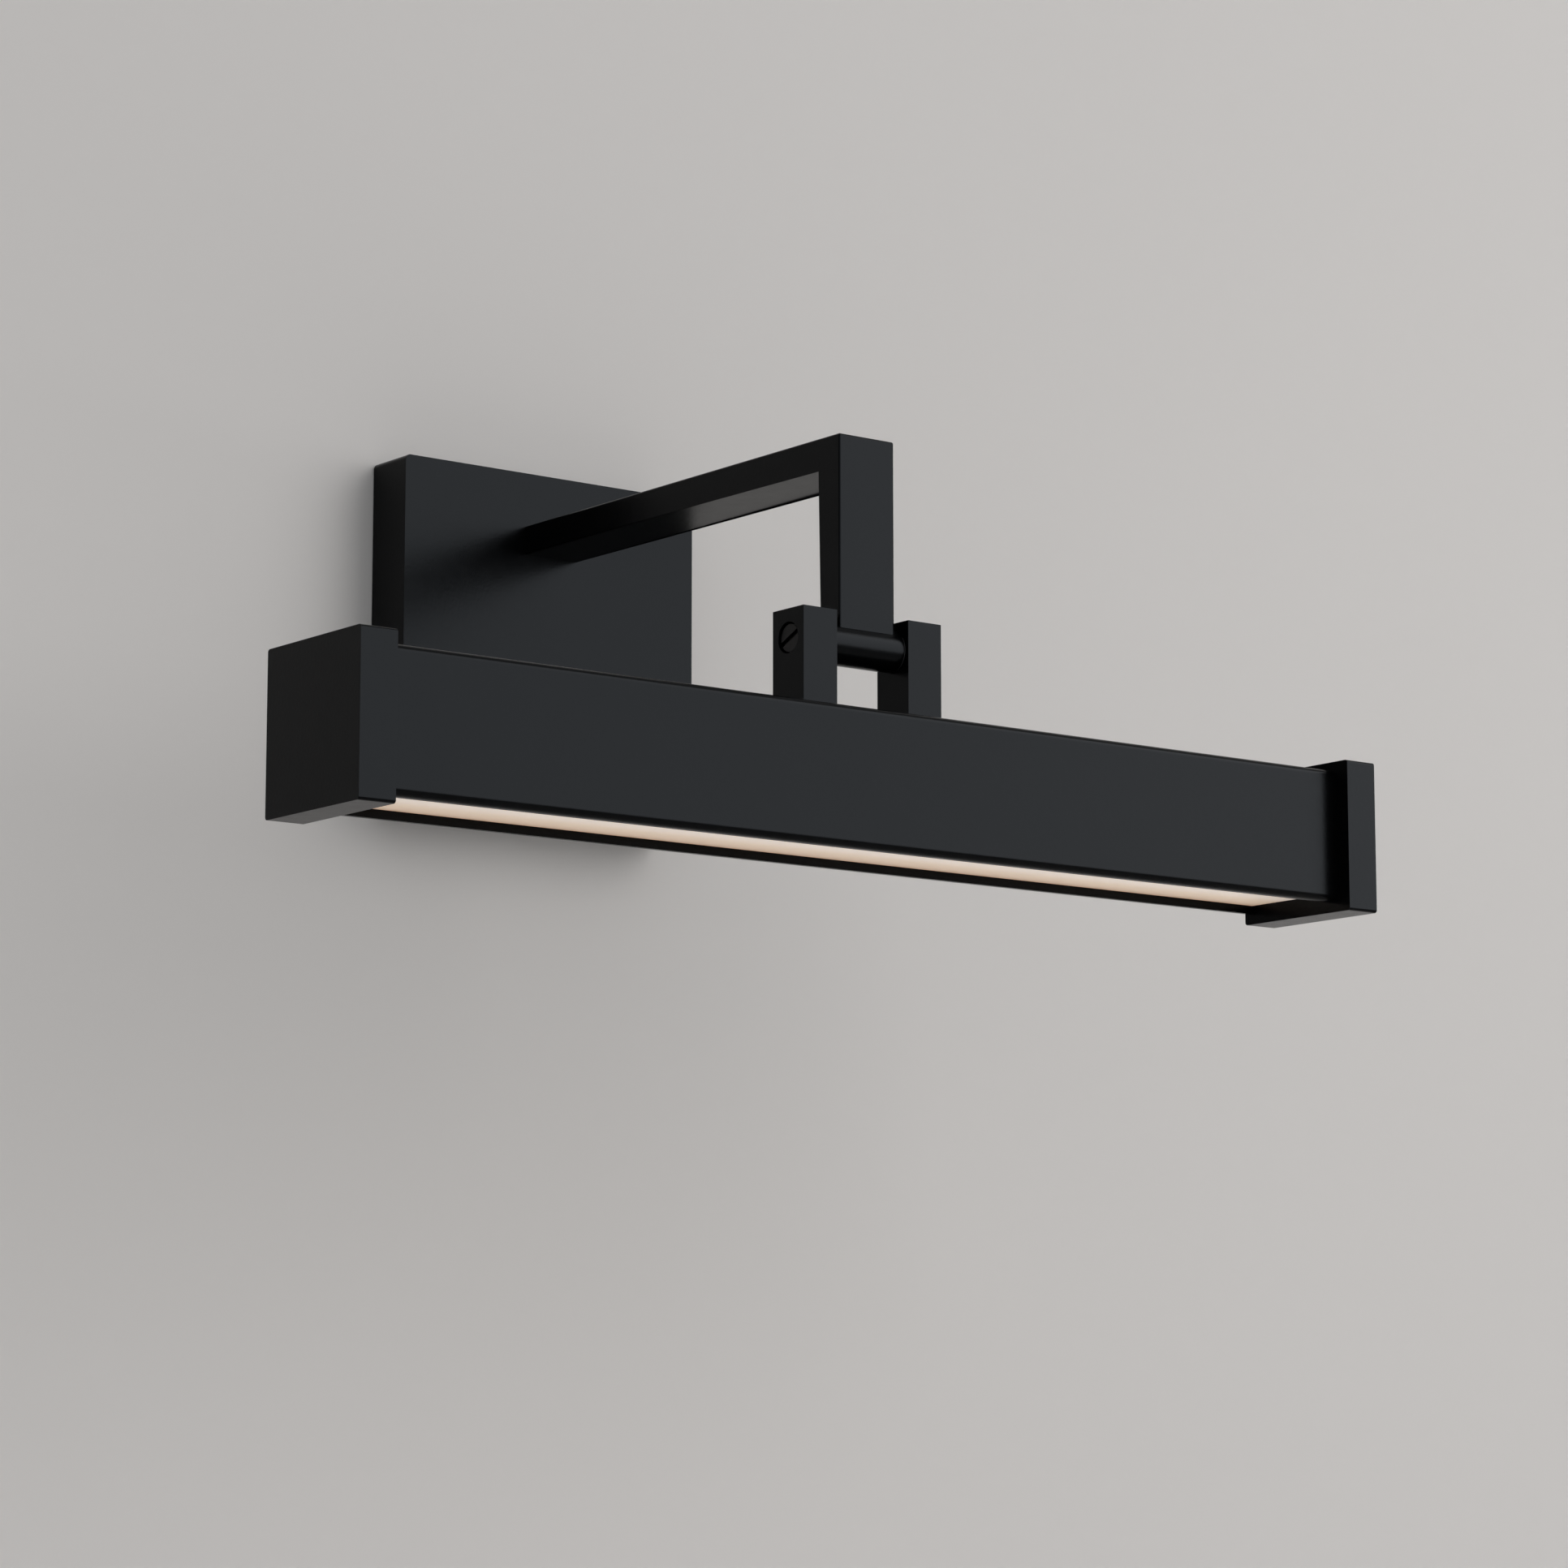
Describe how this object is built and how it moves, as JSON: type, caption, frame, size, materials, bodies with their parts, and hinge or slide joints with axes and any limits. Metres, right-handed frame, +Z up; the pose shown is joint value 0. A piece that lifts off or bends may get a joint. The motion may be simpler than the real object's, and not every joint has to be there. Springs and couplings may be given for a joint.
{
  "type": "picture light",
  "caption": "Wall-mounted LED picture light: square canopy, flat cranked arm and a tilting square-section light bar with a diffuser underneath.",
  "frame": {"origin": "centre of the canopy's back, on the face of the wall", "axes": "+X along the light bar, +Y into the wall, +Z up"},
  "size_m": [0.4, 0.2152, 0.156],
  "materials": {
    "black_coat": "matte black powder coat, fine texture",
    "black_hardware": "black oxide, low sheen",
    "zinc_steel": "bright zinc plate",
    "aluminium": "mill finish",
    "bronze": "sintered bronze",
    "green_screw": "green passivate",
    "driver_case": "moulded, satin",
    "foam": "closed-cell foam tape",
    "connector": "moulded, orange",
    "wire_black": "vinyl insulation",
    "wire_white": "vinyl insulation",
    "wire_green": "vinyl insulation",
    "rubber": "moulded",
    "washer": "filled polymer",
    "board": "white solder resist",
    "led": "phosphor",
    "opal": "opal acrylic, satin"
  },
  "bodies": {
    "wall_bracket": {"canopy_cover": "black_coat", "mounting_crossbar": "zinc_steel", "crossbar_lugs": "zinc_steel", "canopy_screws": "black_hardware", "ground_screw": "green_screw", "backing_plate": "zinc_steel", "arm_screws": "zinc_steel", "arm_lock_washers": "zinc_steel", "canopy_grommet": "rubber", "led_driver": "driver_case", "driver_pad": "foam", "wire_connectors": "connector", "line_lead": "wire_black", "neutral_lead": "wire_white", "ground_lead": "wire_green", "arm_horizontal": "black_coat", "arm_vertical": "black_coat", "arm_root_plug": "aluminium", "pivot_barrel": "black_coat", "arm_lead": "wire_black"},
    "light_head": {"ear_left": "black_coat", "ear_right": "black_coat", "ear_screws": "zinc_steel", "pivot_screw_left": "black_hardware", "pivot_plug_right": "black_hardware", "pivot_bush": "bronze", "friction_washers": "washer", "bar_housing": "black_coat", "led_tray": "aluminium", "tray_screws": "zinc_steel", "led_board": "board", "led_chips": "led", "board_connector": "board", "diffuser": "opal", "end_cap_left": "black_coat", "end_cap_right": "black_coat", "end_cap_screws": "black_hardware", "head_lead": "wire_black", "lead_grommet": "rubber"}
  },
  "joints": [
    {"name": "head_tilt", "type": "hinge", "parent": "wall_bracket", "child": "light_head", "pos_m": [0, -0.1895, -0.0254], "axis": [1, 0, 0], "range_deg": [-45, 90]}
  ]
}
